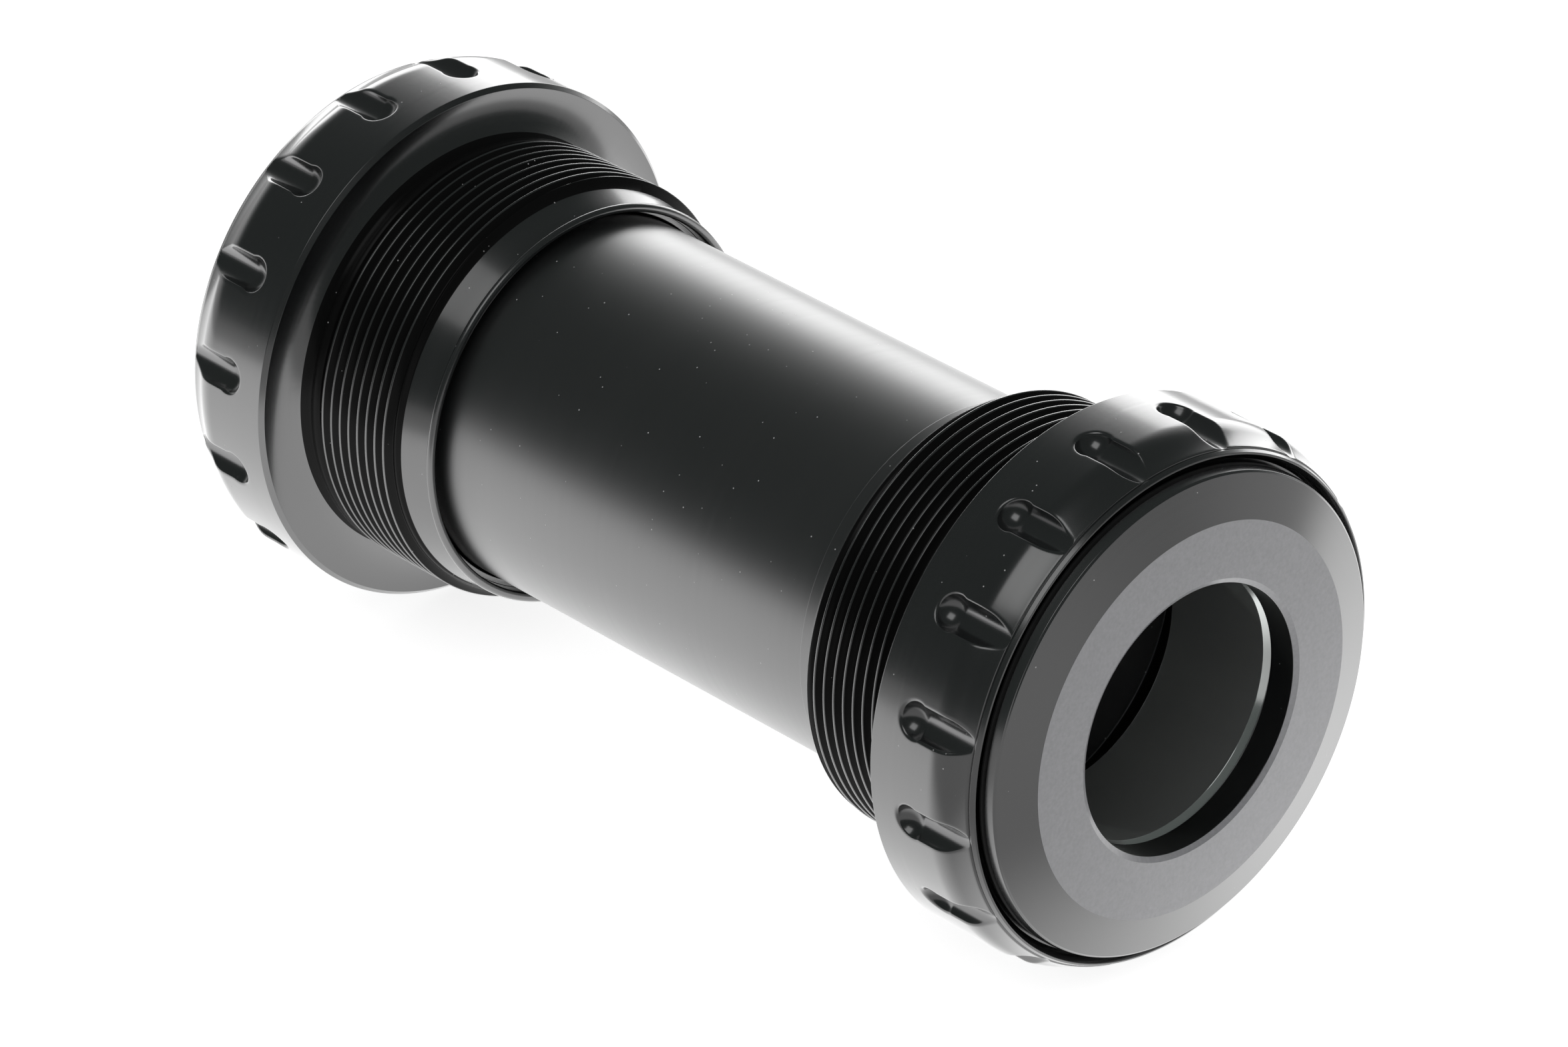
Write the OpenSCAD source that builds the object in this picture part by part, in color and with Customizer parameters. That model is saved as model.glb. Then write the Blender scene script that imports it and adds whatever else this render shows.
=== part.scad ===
// External-bearing bottom bracket for a threaded frame shell and a stepped spindle.
// The spindle axis is X, with the drive side at +X, and the origin is the middle of
// the frame shell. Rings are half sections of [radius, s] points: s is the distance
// from that side's shell face, positive outwards and negative inside the shell.

/* [Frame shell and thread] */
// Width of the frame shell, from one cup flange to the other
shell_w = 70; // [64:0.5:100]
// Outside radius of the cup thread
thread_r = 18; // [17.6:0.1:18.6]
// Distance from the flange to the end of the thread
thread_end = 10.8; // [9.8:0.1:12]
// Width of the relief groove between the flange and the thread
groove_len = 1.2; // [0.6:0.1:1.6]
// Depth of the relief groove below the thread crests
groove_drop = 0.8; // [0.6:0.05:1]
// Length of the plain land between the groove and the thread
land_len = 0.7; // [0.4:0.1:1.2]
// How far the plain land lies below the thread crests
land_drop = 0.15; // [0.1:0.05:0.3]

/* [Cup flange] */
// Wall of the cup around the bearing, which sets the wrench size
cup_wall = 3.5; // [3.3:0.1:5]
// Wall between the shell face and the drive bearing's seat
seat_wall = 2; // [1.6:0.1:3]
// Distance from the bearing's front face to the front rim
mouth_depth = 1; // [0.8:0.05:1.2]
// Length of the front curve along the axis
curve_len = 3.1; // [2.6:0.1:3.4]
// Size of the chamfer around the shell face
face_chamfer = 0.35; // [0.1:0.05:0.6]
// Angle at which the front curve ends, after its steepest part in the middle
curve_end_angle = 16; // [10:1:20]
// How far the front rim lies below the flange
rim_drop = 1.2; // [1.1:0.05:1.4]
// Step from the end of the front curve down to the rim
rim_step = 0.15; // [0.05:0.01:0.2]
// Length of the narrow front rim
rim_len = 0.5; // [0.4:0.05:0.9]
// Rounding of the rim's front edge
rim_round = 0.2; // [0.05:0.01:0.25]
// Thickness of the rim at the cup's mouth
rim_wall = 0.3; // [0.25:0.05:0.4]
// How far the mouth narrows from the rim to the land around the cover
mouth_flare = 0.55; // [0.4:0.05:0.6]

/* [Wrench notches] */
// Number of notches around each flange
notch_count = 16; // [12:1:18]
// Radius of the ball-shaped inner end of a notch
notch_r = 1.5; // [1.2:0.05:1.7]
// Depth of a notch below the flange
notch_depth = 1.2; // [0.8:0.05:1.3]
// Radius of the flute that runs from a notch's ball end to the rim
flute_r = 1.35; // [1:0.05:1.45]
// How much shallower the flute is than the ball end
flute_step = 0.03; // [0.01:0.01:0.1]
// Distance from the shell face to the inner end of a notch
notch_start = 2.85; // [2:0.05:4]
// Turn of the tightened cup on the non-drive side, in degrees
non_drive_turn = 8.6; // [0:0.1:22.5]
// Turn of the tightened cup on the drive side, in degrees
drive_turn = 8.2; // [0:0.1:22.5]

/* [Boss ends] */
// Length of the lead-in chamfer on the non-drive boss
lead_len = 1.1; // [0.6:0.1:1.6]
// How far that lead-in chamfer narrows the boss
lead_drop = 1; // [0.6:0.05:1.2]
// How far the plain ring of the drive boss lies below the thread crests
ring_drop = 0.9; // [0.7:0.05:1]
// Length of the plain ring of the drive boss
ring_len = 2.4; // [1.6:0.1:3]
// Length of the rounded lip at the end of the drive boss
lip_len = 0.8; // [0.6:0.05:1]
// Step between the plain ring and the lip
lip_step = 0.15; // [0.05:0.01:0.2]

/* [Centre sleeve] */
// Wall of a boss, from the sleeve to the thread crests
boss_wall = 2.4; // [2.3:0.05:3]
// Wall of the sleeve
sleeve_wall = 0.9; // [0.6:0.05:1]
// Distance from the shell face to the bottom of each sleeve pocket
pocket_s = 5; // [4:0.1:6]
// Height of the stop collar around the sleeve
stop_step = 0.3; // [0.2:0.05:0.4]
// Length of the stop collar
stop_len = 2; // [1:0.1:4]
// Radial fit of the sleeve in the non-drive cup
push_fit = 0.03; // [0.01:0.01:0.05]
// Radial play of the sleeve in the drive cup
slip_fit = 0.15; // [0.1:0.01:0.2]
// Free length that the sleeve has in the drive cup
end_play = 0.5; // [0.3:0.1:1]
// Radial gap around the sleeve at the drive cup's open end
recess_gap = 0.6; // [0.4:0.05:0.65]
// Depth of that gap
recess_len = 1.6; // [1:0.1:2]
// Cord diameter of the sleeve's O-rings
ring_cord = 0.9; // [0.7:0.05:1]
// Distance from a pocket's bottom to the middle of its O-ring
ring_place = 4; // [3:0.1:4.4]

/* [Bearings] */
// Radius of the spindle bore on the drive side
drive_bore_r = 12; // [11.5:0.1:13]
// Height of the drive bearing's section, from its bore to its outside
drive_section = 6.5; // [6:0.1:7]
// Width of the drive bearing
drive_bearing_w = 7; // [6.6:0.1:8]
// Radius of the spindle bore on the non-drive side
non_drive_bore_r = 11; // [10:0.1:12]
// Width of the non-drive bearing
non_drive_bearing_w = 8; // [7.4:0.1:8.6]
// How far the long inner race stands out in front of its bearing
long_race_front = 0.4; // [0:0.05:0.5]
// How far the long inner race reaches in behind its bearing
long_race_back = 2.1; // [0:0.1:3]
// Diameter of a ball for each millimetre of its bearing's section
ball_share = 0.6; // [0.52:0.01:0.64]
// Number of balls in each bearing
ball_count = 15; // [12:1:17]
// Radial play of a ball in its grooves
ball_play = 0.06; // [0.03:0.01:0.1]
// Depth of the ball grooves
groove_depth = 0.7; // [0.5:0.05:0.8]
// Chamfer at the corners of the races
race_chamfer = 0.4; // [0.2:0.05:0.5]
// Gap between the cage and each race
cage_gap = 0.4; // [0.3:0.05:0.5]

/* [Bearing seals] */
// Thickness of a bearing seal
seal_t = 0.6; // [0.4:0.05:0.7]
// How far a seal lies behind the bearing's face
seal_inset = 0.25; // [0.1:0.05:0.3]
// How far a seal bites into the outer race
seal_bite = 0.4; // [0.2:0.05:0.5]
// Height of the step that a seal's lip runs over
seal_step = 0.3; // [0.2:0.05:0.4]
// Gap between a seal's lip and the inner race
seal_gap = 0.12; // [0.05:0.01:0.2]

/* [Dust covers] */
// How far the cover's flat front stands out in front of the rim
cover_stand = 2; // [1.7:0.05:3]
// Width of the cone between the flat front and the cover's edge
cone_w = 3.65; // [2.5:0.05:5]
// How far the cone falls from the flat front to the edge
cone_drop = 1.05; // [0.6:0.05:1.1]
// Rounding of the cover's edge
edge_round = 0.25; // [0.1:0.05:0.3]
// Width of the chamfer around the cover's bore
bore_chamfer_w = 0.45; // [0.2:0.05:0.8]
// Depth of the chamfer around the cover's bore
bore_chamfer_d = 0.25; // [0.1:0.05:0.4]
// Running gap between a cover and what stands still behind it
cover_gap = 0.3; // [0.25:0.05:0.4]
// Radial gap between the cover's edge and the cup
land_gap = 0.2; // [0.15:0.05:0.25]
// Height of the edge lip, from its rounding to its underside
lip_t = 0.6; // [0.4:0.05:0.65]
// How far the skirt behind the edge lip stands back
skirt_step = 0.45; // [0.35:0.05:0.5]
// Depth of the groove in the skirt for the lip seal
skirt_groove = 0.4; // [0.3:0.05:0.45]
// Depth of the hollow in the cover's back
hollow_depth = 0.9; // [0.4:0.05:1]

/* [Hidden] */
$fn = 120;

anodised = "#1b1d1f";
satin = "#26292a";
steel = "#c9ccce";
ceramic = "#3c3f42";
nylon = "#e3ddc8";
rubber = "#111213";

// From the spindle's bore outwards come the bearing, the cup's wall and its flange.
bearing_r = drive_bore_r + drive_section;
flange_r = bearing_r + cup_wall;
rim_r = flange_r - rim_drop;
mouth_r = rim_r - rim_wall;
land_r = mouth_r - mouth_flare;
cover_r = land_r - land_gap;
flat_r = cover_r - cone_w;
// From the shell face outwards come the seat, the bearing, the rim and the cover.
bearing_front = seat_wall + drive_bearing_w;
flange_w = bearing_front + mouth_depth;
cover_front = flange_w + cover_stand;
// The front curve ends where the narrow rim starts.
curve_to = [rim_r + rim_step, flange_w - rim_len];
curve_from = [flange_r, flange_w - rim_len - curve_len];

groove_r = thread_r - groove_drop;
thread_start = groove_len + land_len;

lead_r = thread_r - lead_drop;
lead_end = -(thread_end + lead_len);
ring_r = thread_r - ring_drop;
ring_end = -(thread_end + ring_drop / 2 + ring_len);
lip_end = ring_end - lip_step - lip_len;

sleeve_r = thread_r - boss_wall;
sleeve_bore_r = sleeve_r - sleeve_wall;
ring_s = -(pocket_s + ring_place);
ring_groove_w = ring_cord + 0.3;
ring_mid_r = sleeve_r + ring_cord / 2;

// The back face of a cover stands this far from the shell face.
cover_back = bearing_front + cover_gap;
// The cover's side falls straight from here to the underside of its edge lip.
edge_s = cover_front - cone_drop - edge_round;
skirt_r = cover_r - skirt_step;
skirt_groove_r = skirt_r - skirt_groove;
// The lip seal's groove fills the skirt but for a narrow wall on each side.
groove_wall = 0.15;
seal_front = edge_s - lip_t - groove_wall;
seal_back = cover_back + groove_wall;

function mid_r(bore_r) = (bore_r + bearing_r) / 2;
function ball_r(bore_r) = (bearing_r - bore_r) * ball_share / 2;
function track_r(bore_r) = ball_r(bore_r) + ball_play;
function inner_shoulder(bore_r) = mid_r(bore_r) - track_r(bore_r) + groove_depth;
function outer_shoulder(bore_r) = mid_r(bore_r) + track_r(bore_r) - groove_depth;
function lip_track(bore_r) = inner_shoulder(bore_r) - seal_step;
function ball_s(bearing_w) = bearing_front - bearing_w / 2;

// Points on an arc about a centre, from one angle to another in equal steps.
function arc(centre, r, from, to, steps = 6) =
    [for (i = [0 : steps]) let (a = from + (to - from) * i / steps)
        [centre[0] + r * cos(a), centre[1] + r * sin(a)]];

// An arc from p to q whose start leans inwards from the axis by the angle lean.
function leaning_arc(p, q, lean, steps = 6) =
    let (chord = atan2(p[0] - q[0], q[1] - p[1]),
         length = norm(q - p),
         r = length / (2 * sin(chord - lean)),
         centre = [p[0] - r * cos(lean), p[1] - r * sin(lean)])
    arc(centre, r, lean, 2 * chord - lean, steps);

// Two such arcs that meet halfway and end at q with a lean of their own.
function double_arc(p, q, lean, end_lean) =
    let (chord = atan2(p[0] - q[0], q[1] - p[1]),
         half = norm(q - p) / (2 * cos((lean - end_lean) / 4)),
         towards = chord + (lean - end_lean) / 4,
         middle = p + half * [-sin(towards), cos(towards)],
         second = leaning_arc(middle, q, 2 * chord - (lean + end_lean) / 2))
    concat(leaning_arc(p, middle, lean), [for (i = [1 : len(second) - 1]) second[i]]);

module non_drive_side() {
    translate([-shell_w / 2, 0, 0]) rotate([0, -90, 0]) children();
}

module drive_side() {
    translate([shell_w / 2, 0, 0]) rotate([0, 90, 0]) children();
}

// ---- Cups ----

// The flange's outside, its front rim and the seat of the bearing behind its mouth.
function flange_points(bearing_w) = concat(
    [[groove_r, 0], [flange_r - face_chamfer, 0], [flange_r, face_chamfer]],
    double_arc(curve_from, curve_to, 0, curve_end_angle),
    [[rim_r, flange_w - rim_len]],
    arc([rim_r - rim_round, flange_w - rim_round], rim_round, 0, 90, 4),
    [[mouth_r, flange_w], [land_r, cover_back], [land_r, bearing_front],
     [bearing_r, bearing_front], [bearing_r, bearing_front - bearing_w],
     [sleeve_bore_r, bearing_front - bearing_w]]);

// The pocket for the sleeve, with the groove of its O-ring.
function pocket_points(pocket_r) = [
    [sleeve_bore_r, -pocket_s], [pocket_r, -pocket_s],
    [pocket_r, ring_s + ring_groove_w / 2],
    [sleeve_r + ring_cord, ring_s + ring_groove_w / 2],
    [sleeve_r + ring_cord, ring_s - ring_groove_w / 2],
    [pocket_r, ring_s - ring_groove_w / 2]];

// The thread at its full outside radius, the plain land and the relief groove.
thread_points = [[thread_r, -thread_end], [thread_r, -thread_start],
    [thread_r - land_drop, -thread_start], [thread_r - land_drop, -groove_len],
    [groove_r, -groove_len]];

non_drive_cup_points = concat(
    flange_points(non_drive_bearing_w),
    pocket_points(sleeve_r + push_fit),
    [[sleeve_r + push_fit, lead_end], [lead_r, lead_end]],
    thread_points);

// The lip's end is a half round between the recess and the ring.
lip_r = ring_r - lip_step;
recess_r = sleeve_r + recess_gap;
lip_half = (lip_r - recess_r) / 2;
drive_cup_points = concat(
    flange_points(drive_bearing_w),
    pocket_points(sleeve_r + slip_fit),
    [[sleeve_r + slip_fit, lip_end + recess_len], [recess_r, lip_end + recess_len]],
    arc([recess_r + lip_half, lip_end + lip_half], lip_half, 180, 360, 8),
    [[lip_r, ring_end - lip_step], [ring_r, ring_end],
     [ring_r, -thread_end - ring_drop / 2]],
    thread_points);

// One notch is a ball with a narrower flute that runs out at the rim.
module notch() {
    floor_r = flange_r - notch_depth;
    translate([0, 0, notch_start + notch_r]) {
        translate([floor_r + notch_r, 0, 0]) sphere(r = notch_r, $fn = 48);
        translate([floor_r + flute_step + flute_r, 0, 0])
            cylinder(r = flute_r, h = flange_w, $fn = 48);
    }
}

module cup(points, turn) {
    difference() {
        rotate_extrude() polygon(points);
        for (i = [0 : notch_count - 1])
            rotate([0, 0, turn + i * 360 / notch_count]) notch();
    }
}

module non_drive_cup() {
    color(anodised) non_drive_side() cup(non_drive_cup_points, non_drive_turn);
}

module drive_cup() {
    color(anodised) drive_side() cup(drive_cup_points, drive_turn);
}

// ---- Sleeve between the cups, which keeps dirt off the spindle ----

module center_sleeve() {
    from = -shell_w / 2 + pocket_s;
    to = shell_w / 2 - pocket_s - end_play;
    stop_from = -shell_w / 2 - lead_end;
    color(satin) rotate([0, 90, 0]) rotate_extrude() polygon([
        [sleeve_bore_r, from], [sleeve_r, from], [sleeve_r, stop_from],
        [sleeve_r + stop_step, stop_from], [sleeve_r + stop_step, stop_from + stop_len],
        [sleeve_r, stop_from + stop_len], [sleeve_r, to], [sleeve_bore_r, to]]);
}

module sleeve_o_ring() {
    color(rubber) translate([0, 0, ring_s])
        rotate_extrude() translate([ring_mid_r, 0]) circle(r = ring_cord / 2, $fn = 32);
}

module sleeve_o_ring_non_drive() {
    non_drive_side() sleeve_o_ring();
}

module sleeve_o_ring_drive() {
    drive_side() sleeve_o_ring();
}

// ---- Bearings: each is drawn from its bore radius and its width ----

module ball_groove(bore_r, bearing_w) {
    translate([mid_r(bore_r), ball_s(bearing_w)]) circle(r = track_r(bore_r), $fn = 64);
}

module outer_race(bore_r, bearing_w) {
    back = bearing_front - bearing_w;
    seat_r = outer_shoulder(bore_r) + seal_bite;
    depth = seal_inset + seal_t;
    color(steel) rotate_extrude() difference() {
        polygon([
            [bearing_r - race_chamfer, back], [bearing_r, back + race_chamfer],
            [bearing_r, bearing_front - race_chamfer],
            [bearing_r - race_chamfer, bearing_front],
            [seat_r, bearing_front], [seat_r, bearing_front - depth],
            [outer_shoulder(bore_r), bearing_front - depth],
            [outer_shoulder(bore_r), back + depth],
            [seat_r, back + depth], [seat_r, back]]);
        ball_groove(bore_r, bearing_w);
    }
}

module inner_race(bore_r, bearing_w, out, back_out) {
    front = bearing_front + out;
    back = bearing_front - bearing_w - back_out;
    track_w = seal_inset + seal_t + seal_gap;
    color(steel) rotate_extrude() difference() {
        polygon([
            [bore_r + race_chamfer, back], [lip_track(bore_r), back],
            [lip_track(bore_r), bearing_front - bearing_w + track_w],
            [inner_shoulder(bore_r), bearing_front - bearing_w + track_w],
            [inner_shoulder(bore_r), bearing_front - track_w],
            [lip_track(bore_r), bearing_front - track_w],
            [lip_track(bore_r), front], [bore_r + race_chamfer, front],
            [bore_r, front - race_chamfer], [bore_r, back + race_chamfer]]);
        ball_groove(bore_r, bearing_w);
    }
}

module at_each_ball(bore_r, bearing_w) {
    for (i = [0 : ball_count - 1])
        rotate([0, 0, i * 360 / ball_count])
            translate([mid_r(bore_r), 0, ball_s(bearing_w)]) children();
}

module balls(bore_r, bearing_w) {
    color(ceramic) at_each_ball(bore_r, bearing_w) sphere(r = ball_r(bore_r), $fn = 32);
}

// A crown cage: a ring behind the balls whose posts stand up between them.
module cage(bore_r, bearing_w) {
    pocket_play = 0.04;
    ring_back = ball_r(bore_r) + 0.3;
    post_height = 0.8;
    inside_r = inner_shoulder(bore_r) + cage_gap;
    outside_r = outer_shoulder(bore_r) - cage_gap;
    color(nylon) difference() {
        translate([0, 0, ball_s(bearing_w) - ring_back]) rotate_extrude()
            translate([inside_r, 0]) square([outside_r - inside_r, ring_back + post_height]);
        at_each_ball(bore_r, bearing_w) sphere(r = ball_r(bore_r) + pocket_play, $fn = 32);
    }
}

// A rubber-faced seal with a shallow groove around its outer face.
module bearing_seal(bore_r) {
    inside_r = lip_track(bore_r) + seal_gap;
    outside_r = outer_shoulder(bore_r) + seal_bite;
    dish = seal_t / 4;
    dish_in = inside_r + (outside_r - inside_r) / 4;
    dish_out = outside_r - (outside_r - inside_r) / 4;
    color(rubber) rotate_extrude() polygon([
        [inside_r, 0], [outside_r, 0], [outside_r, seal_t], [dish_out, seal_t],
        [dish_out - dish, seal_t - dish], [dish_in + dish, seal_t - dish],
        [dish_in, seal_t], [inside_r, seal_t]]);
}

module front_seal(bore_r) {
    translate([0, 0, bearing_front - seal_inset - seal_t]) bearing_seal(bore_r);
}

module back_seal(bore_r, bearing_w) {
    translate([0, 0, bearing_front - bearing_w + seal_inset + seal_t])
        rotate([180, 0, 0]) bearing_seal(bore_r);
}

// ---- Dust covers, which turn with the spindle and the inner races ----

module dust_cover(bore_r, hub_s) {
    race_fit = 0.05;
    hub_r = lip_track(bore_r) + race_fit;
    wall = 1.1;
    color(anodised) rotate_extrude() polygon(concat(
        [[bore_r, hub_s], [bore_r, cover_front - bore_chamfer_d],
         [bore_r + bore_chamfer_w, cover_front], [flat_r, cover_front]],
        arc([cover_r - edge_round, edge_s], edge_round, 70, 0, 5),
        [[cover_r, edge_s - lip_t], [skirt_r, edge_s - lip_t],
         [skirt_r, seal_front], [skirt_groove_r, seal_front],
         [skirt_groove_r, seal_back], [skirt_r, seal_back], [skirt_r, cover_back],
         [skirt_groove_r - wall / 2, cover_back],
         [skirt_groove_r - wall / 2, cover_back + hollow_depth],
         [hub_r + wall, cover_back + hollow_depth], [hub_r + wall, cover_back],
         [hub_r, cover_back], [hub_r, hub_s]]));
}

// A rubber lip that fills the groove in the cover's skirt and points at the cup's mouth.
module cover_lip_seal() {
    lip_reach = 0.45;
    height = seal_front - seal_back;
    color(rubber) rotate_extrude() polygon([
        [skirt_groove_r, seal_back], [skirt_r, seal_back],
        [skirt_r + lip_reach, seal_back + height * 0.3],
        [skirt_r + lip_reach, seal_back + height * 0.6],
        [skirt_r, seal_front], [skirt_groove_r, seal_front]]);
}

// ---- Non-drive side ----

module non_drive_outer_race() {
    non_drive_side() outer_race(non_drive_bore_r, non_drive_bearing_w);
}

module non_drive_inner_race() {
    non_drive_side()
        inner_race(non_drive_bore_r, non_drive_bearing_w, long_race_front, long_race_back);
}

module non_drive_balls() {
    non_drive_side() balls(non_drive_bore_r, non_drive_bearing_w);
}

module non_drive_cage() {
    non_drive_side() cage(non_drive_bore_r, non_drive_bearing_w);
}

module non_drive_front_seal() {
    non_drive_side() front_seal(non_drive_bore_r);
}

module non_drive_back_seal() {
    non_drive_side() back_seal(non_drive_bore_r, non_drive_bearing_w);
}

module non_drive_dust_cover() {
    non_drive_side() dust_cover(non_drive_bore_r, bearing_front + long_race_front);
}

module non_drive_cover_lip_seal() {
    non_drive_side() cover_lip_seal();
}

// ---- Drive side ----

module drive_outer_race() {
    drive_side() outer_race(drive_bore_r, drive_bearing_w);
}

module drive_inner_race() {
    drive_side() inner_race(drive_bore_r, drive_bearing_w, 0, 0);
}

module drive_balls() {
    drive_side() balls(drive_bore_r, drive_bearing_w);
}

module drive_cage() {
    drive_side() cage(drive_bore_r, drive_bearing_w);
}

module drive_front_seal() {
    drive_side() front_seal(drive_bore_r);
}

module drive_back_seal() {
    drive_side() back_seal(drive_bore_r, drive_bearing_w);
}

module drive_dust_cover() {
    drive_side() dust_cover(drive_bore_r, bearing_front);
}

module drive_cover_lip_seal() {
    drive_side() cover_lip_seal();
}

center_sleeve();
sleeve_o_ring_non_drive();
sleeve_o_ring_drive();
non_drive_cup();
non_drive_outer_race();
non_drive_inner_race();
non_drive_balls();
non_drive_cage();
non_drive_front_seal();
non_drive_back_seal();
non_drive_dust_cover();
non_drive_cover_lip_seal();
drive_cup();
drive_outer_race();
drive_inner_race();
drive_balls();
drive_cage();
drive_front_seal();
drive_back_seal();
drive_dust_cover();
drive_cover_lip_seal();
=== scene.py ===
import math

import bmesh
import bpy
import numpy as np
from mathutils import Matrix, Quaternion, Vector


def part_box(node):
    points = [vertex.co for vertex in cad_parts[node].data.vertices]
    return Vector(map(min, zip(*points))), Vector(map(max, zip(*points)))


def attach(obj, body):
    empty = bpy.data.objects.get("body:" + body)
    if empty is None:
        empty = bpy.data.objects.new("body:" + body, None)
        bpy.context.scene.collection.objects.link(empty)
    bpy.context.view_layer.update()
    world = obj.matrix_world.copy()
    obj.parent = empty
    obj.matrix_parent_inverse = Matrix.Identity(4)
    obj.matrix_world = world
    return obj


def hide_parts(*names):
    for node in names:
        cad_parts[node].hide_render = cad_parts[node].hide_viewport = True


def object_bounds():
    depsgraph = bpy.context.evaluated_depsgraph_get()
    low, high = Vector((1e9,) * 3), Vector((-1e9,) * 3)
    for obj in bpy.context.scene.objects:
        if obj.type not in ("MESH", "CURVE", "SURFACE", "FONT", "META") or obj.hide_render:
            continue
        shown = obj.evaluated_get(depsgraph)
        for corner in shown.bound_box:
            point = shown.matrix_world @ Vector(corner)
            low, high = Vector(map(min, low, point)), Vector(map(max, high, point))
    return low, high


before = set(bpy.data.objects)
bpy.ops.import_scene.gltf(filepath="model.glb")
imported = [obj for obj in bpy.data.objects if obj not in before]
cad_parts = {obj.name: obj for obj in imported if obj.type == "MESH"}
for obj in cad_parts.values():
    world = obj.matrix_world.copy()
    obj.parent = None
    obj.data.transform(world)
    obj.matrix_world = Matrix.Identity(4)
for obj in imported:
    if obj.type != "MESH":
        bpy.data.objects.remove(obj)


# ---- Studio ----
# A large pale floor under the flanges, a white backdrop that curves up behind the part,
# and two soft boxes: one overhead and a long, low one behind the part.

cad_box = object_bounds()


class Wire:
    """One output of a shader tree, which plain arithmetic works on."""

    def __init__(self, tree, socket):
        self.tree = tree
        self.socket = socket

    def __add__(self, other):
        return maths(self.tree, "ADD", self, other)

    def __sub__(self, other):
        return maths(self.tree, "SUBTRACT", self, other)

    def __mul__(self, other):
        return maths(self.tree, "MULTIPLY", self, other)

    __radd__ = __add__
    __rmul__ = __mul__


def node(tree, kind, settings=None, inputs=None, output=0):
    """Adds one node, sets it and its inputs by identifier or name, and wraps one output."""
    made = tree.nodes.new(kind)
    for key, value in (settings or {}).items():
        setattr(made, key, value)
    for key, value in (inputs or {}).items():
        found = [s for s in made.inputs if s.identifier == key] or [made.inputs[key]]
        if isinstance(value, Wire):
            tree.links.new(value.socket, found[0])
        else:
            found[0].default_value = value
    if not made.outputs:
        return None
    outputs = [s for s in made.outputs if s.identifier == output] or [made.outputs[output]]
    return Wire(tree, outputs[0])


def maths(tree, operation, *values):
    inputs = dict(zip(("Value", "Value_001"), values))
    return node(tree, "ShaderNodeMath", {"operation": operation}, inputs)


def limited(tree, wire):
    return node(tree, "ShaderNodeClamp", None, {"Value": wire})


def blended(tree, share, a, b):
    """A colour between a and b."""
    return node(tree, "ShaderNodeMix", {"data_type": "RGBA"},
                {"Factor_Float": share, "A_Color": a, "B_Color": b}, "Result_Color")


def grey(value, tint=(1, 1, 1)):
    return (value * tint[0], value * tint[1], value * tint[2], 1)


def new_material(name):
    material = bpy.data.materials.new(name)
    material.use_nodes = True
    tree = material.node_tree
    tree.nodes.clear()
    return material, tree


def finish_material(tree, sockets):
    shader = node(tree, "ShaderNodeBsdfPrincipled", None, sockets)
    node(tree, "ShaderNodeOutputMaterial", None, {"Surface": shader})


def ray_kinds(tree):
    """Wires that are 1 for what the camera sees and for what is seen in reflections."""
    camera, glossy, through = (node(tree, "ShaderNodeLightPath", output=f"Is {kind} Ray")
                               for kind in ("Camera", "Glossy", "Transmission"))
    return camera, maths(tree, "MAXIMUM", glossy, through)


def make_floor():
    mesh = bpy.data.meshes.new("floor")
    shape = bmesh.new()
    bmesh.ops.create_circle(shape, cap_ends=True, segments=96, radius=4)
    shape.to_mesh(mesh)
    shape.free()
    floor = bpy.data.objects.new("floor", mesh)
    floor.location.z = cad_box[0].z
    bpy.context.scene.collection.objects.link(floor)
    material, tree = new_material("floor_paper")
    camera, shiny = ray_kinds(tree)
    # Painted light: in reflections the paper glows white only within a slanting oval round the
    # part, a painted pool with half widths of 1 / 8.3 and 1 / 5 of a metre.
    place = node(tree, "ShaderNodeTexCoord", output="Object")
    x, y = (node(tree, "ShaderNodeSeparateXYZ", None, {"Vector": place}, k) for k in "XY")
    x, y = (x - y * 0.4 - 0.06) * 8.3, (y + 0.03) * 5.0
    pool = node(tree, "ShaderNodeMapRange", {"interpolation_type": "SMOOTHSTEP"},
                {"Value": maths(tree, "SQRT", x * x + y * y), "From Min": 0.85, "From Max": 1.15,
                 "To Min": 1.0, "To Max": 0.0})
    glow = blended(tree, limited(tree, camera * 0.8 + shiny * pool), grey(0.0), grey(1.0))
    finish_material(tree, {"Base Color": grey(0.8), "Roughness": 1.0, "Specular IOR Level": 0.0,
                           "Emission Color": glow, "Emission Strength": 1.0})
    mesh.materials.append(material)


def make_world():
    world = bpy.data.worlds.new("studio")
    bpy.context.scene.world = world
    world.use_nodes = True
    tree = world.node_tree
    tree.nodes.clear()
    camera, shiny = ray_kinds(tree)
    # The white backdrop fills the low directions behind the part; the room in front is dark.
    direction = node(tree, "ShaderNodeTexCoord", output="Generated")
    x, y, z = (node(tree, "ShaderNodeSeparateXYZ", None, {"Vector": direction}, k) for k in "XYZ")
    backdrop = node(tree, "ShaderNodeMapRange", {"interpolation_type": "SMOOTHSTEP"},
                    {"Value": z - x * 1.10 + y * 1.02, "From Min": -1.50, "From Max": -0.25,
                     "To Min": 1.0, "To Max": 0.0})
    white = limited(tree, camera + shiny * backdrop)
    fill_light, dark_room = grey(0.45), grey(0.066, (0.92, 1.06, 1.02))
    room = blended(tree, shiny, fill_light, dark_room)
    background = node(tree, "ShaderNodeBackground", None,
                      {"Color": blended(tree, white, room, grey(1.0)), "Strength": 1.0})
    node(tree, "ShaderNodeOutputWorld", None, {"Surface": background})


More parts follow.
